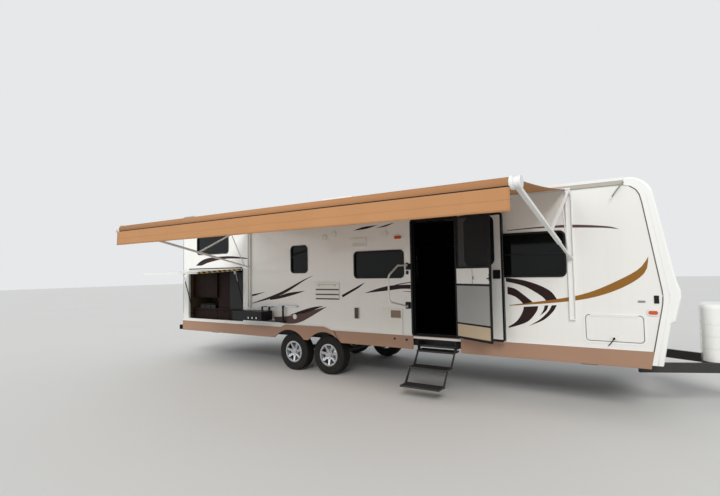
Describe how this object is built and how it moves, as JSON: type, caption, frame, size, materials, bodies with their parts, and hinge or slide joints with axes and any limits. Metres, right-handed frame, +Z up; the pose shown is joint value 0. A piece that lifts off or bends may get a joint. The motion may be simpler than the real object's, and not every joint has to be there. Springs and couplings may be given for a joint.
{
  "type": "travel trailer caravan",
  "caption": "Travel trailer parked on its tongue jack, with open entry and screen doors, a raised outdoor galley hatch, an extended awning and steps down.",
  "frame": {"origin": "centre of the hitch ball's socket in the coupler", "axes": "+X forward along the tow line, +Y to the off side, +Z up; the ball leaves along -Z"},
  "size_m": [11.0886, 5.1858, 3.45],
  "materials": {
    "frame_steel": "black chassis paint",
    "body_white": "gel-coated laminate",
    "cap_white": "moulded gel coat",
    "skirt_tan": "painted aluminium",
    "tyre": "moulded rubber",
    "wheel_alloy": "polished",
    "trim_black": "moulded",
    "glass_dark": "tinted",
    "trim_white": "moulded",
    "trim_alloy": "mill finish",
    "roof_membrane": "membrane",
    "awning_white": "powder coat",
    "awning_fabric": "woven acrylic",
    "mesh_dark": "woven mesh",
    "cabinet_brown": "laminate",
    "appliance_black": "moulded",
    "lamp_amber": "moulded lens",
    "steel_bright": "plated",
    "deck_ply": "sealed deck"
  },
  "bodies": {
    "root": {"main_frame": "frame_steel", "a_frame": "frame_steel", "coupler": "frame_steel", "rear_bumper": "frame_steel", "floor": "deck_ply", "axles": "frame_steel", "leaf_springs": "frame_steel", "curb_wall": "body_white", "off_wall": "body_white", "rear_wall": "body_white", "front_cap": "cap_white", "roof": "roof_membrane", "gutter_rails": "trim_white", "curb_skirt": "skirt_tan", "off_skirt": "skirt_tan", "window_frames": "trim_black", "window_glass": "glass_dark", "entry_frame": "trim_white", "hatch_fittings": "trim_black", "kitchen_shell": "cabinet_brown", "kitchen_cabinets": "cabinet_brown", "kitchen_appliances": "appliance_black", "interior_walls": "cabinet_brown", "luggage_frames": "trim_white", "wall_fittings": "trim_white", "lights": "lamp_amber", "handle_brackets": "trim_black", "awning_channels": "awning_white", "awning_arms": "awning_white", "awning_roller": "awning_white", "awning_fabric": "awning_fabric", "roof_unit": "trim_white", "roof_vents": "trim_white", "ladder": "trim_alloy", "entry_steps": "trim_alloy", "jack_tube": "trim_black", "lp_cover": "cap_white", "stabilisers": "frame_steel", "camp_grill": "appliance_black"},
    "wheel_front_curb": {"rim_front_curb": "wheel_alloy", "tyre_front_curb": "tyre"},
    "wheel_front_off": {"rim_front_off": "wheel_alloy", "tyre_front_off": "tyre"},
    "wheel_rear_curb": {"rim_rear_curb": "wheel_alloy", "tyre_rear_curb": "tyre"},
    "wheel_rear_off": {"rim_rear_off": "wheel_alloy", "tyre_rear_off": "tyre"},
    "entry_door": {"entry_door": "trim_black", "entry_door_glass": "glass_dark"},
    "screen_door": {"screen_door": "trim_black", "screen_mesh": "mesh_dark"},
    "kitchen_hatch": {"kitchen_hatch": "body_white"},
    "strut_tubes": {"strut_tubes": "trim_black"},
    "strut_rods": {"strut_rods": "steel_bright"},
    "luggage_door_curb": {"luggage_door_curb": "body_white"},
    "luggage_door_off": {"luggage_door_off": "body_white"},
    "jack_leg": {"jack_leg": "steel_bright"},
    "grab_handle": {"grab_handle": "trim_white"}
  },
  "joints": [
    {"name": "wheel_front_curb_spin", "type": "hinge", "parent": "root", "child": "wheel_front_curb", "pos_m": [-6.625, -1.01, -0.14], "axis": [0, 1, 0], "continuous": true},
    {"name": "wheel_front_off_spin", "type": "hinge", "parent": "root", "child": "wheel_front_off", "pos_m": [-6.625, 1.01, -0.14], "axis": [0, 1, 0], "continuous": true},
    {"name": "wheel_rear_curb_spin", "type": "hinge", "parent": "root", "child": "wheel_rear_curb", "pos_m": [-7.492, -1.01, -0.14], "axis": [0, 1, 0], "continuous": true},
    {"name": "wheel_rear_off_spin", "type": "hinge", "parent": "root", "child": "wheel_rear_off", "pos_m": [-7.492, 1.01, -0.14], "axis": [0, 1, 0], "continuous": true},
    {"name": "entry_door_hinge", "type": "hinge", "parent": "root", "child": "entry_door", "pos_m": [-3.98, -1.242, 0.352], "axis": [0, 0, -1], "range_deg": [0, 170]},
    {"name": "screen_door_hinge", "type": "hinge", "parent": "root", "child": "screen_door", "pos_m": [-3.98, -1.242, 0.352], "axis": [0, 0, -1], "range_deg": [0, 152]},
    {"name": "kitchen_hatch_hinge", "type": "hinge", "parent": "root", "child": "kitchen_hatch", "pos_m": [-9.733, -1.226, 1.516], "axis": [1, 0, 0], "range_deg": [0, 87]},
    {"name": "strut_tube_pivot", "type": "hinge", "parent": "root", "child": "strut_tubes", "pos_m": [-9.733, -1.116, 0.496], "axis": [1, 0, 0], "range_deg": [-15.52, 0]},
    {"name": "strut_rod_slide", "type": "slide", "parent": "strut_tubes", "child": "strut_rods", "axis": [0, 0.2787, -0.9604], "range_m": [0, 0.08935]},
    {"name": "luggage_door_curb_hinge", "type": "hinge", "parent": "root", "child": "luggage_door_curb", "pos_m": [-1.8605, -1.229, 0.777], "axis": [-1, 0, 0], "range_deg": [0, 155]},
    {"name": "luggage_door_off_hinge", "type": "hinge", "parent": "root", "child": "luggage_door_off", "pos_m": [-1.8605, 1.229, 0.777], "axis": [1, 0, 0], "range_deg": [0, 155]},
    {"name": "jack_slide", "type": "slide", "parent": "root", "child": "jack_leg", "axis": [0, 0, 1], "range_m": [0, 0.3]},
    {"name": "grab_handle_hinge", "type": "hinge", "parent": "root", "child": "grab_handle", "pos_m": [-4.868, -1.244, 1.152], "axis": [0, 0, -1], "range_deg": [0, 82]}
  ],
  "couplings": [
    {"joint": "screen_door_hinge", "follows": "entry_door_hinge", "ratio": 0.89412},
    {"joint": "strut_tube_pivot", "follows": "kitchen_hatch_hinge", "ratio": -0.17832},
    {"joint": "strut_rod_slide", "follows": "kitchen_hatch_hinge", "m_per_rad": 0.058816}
  ]
}
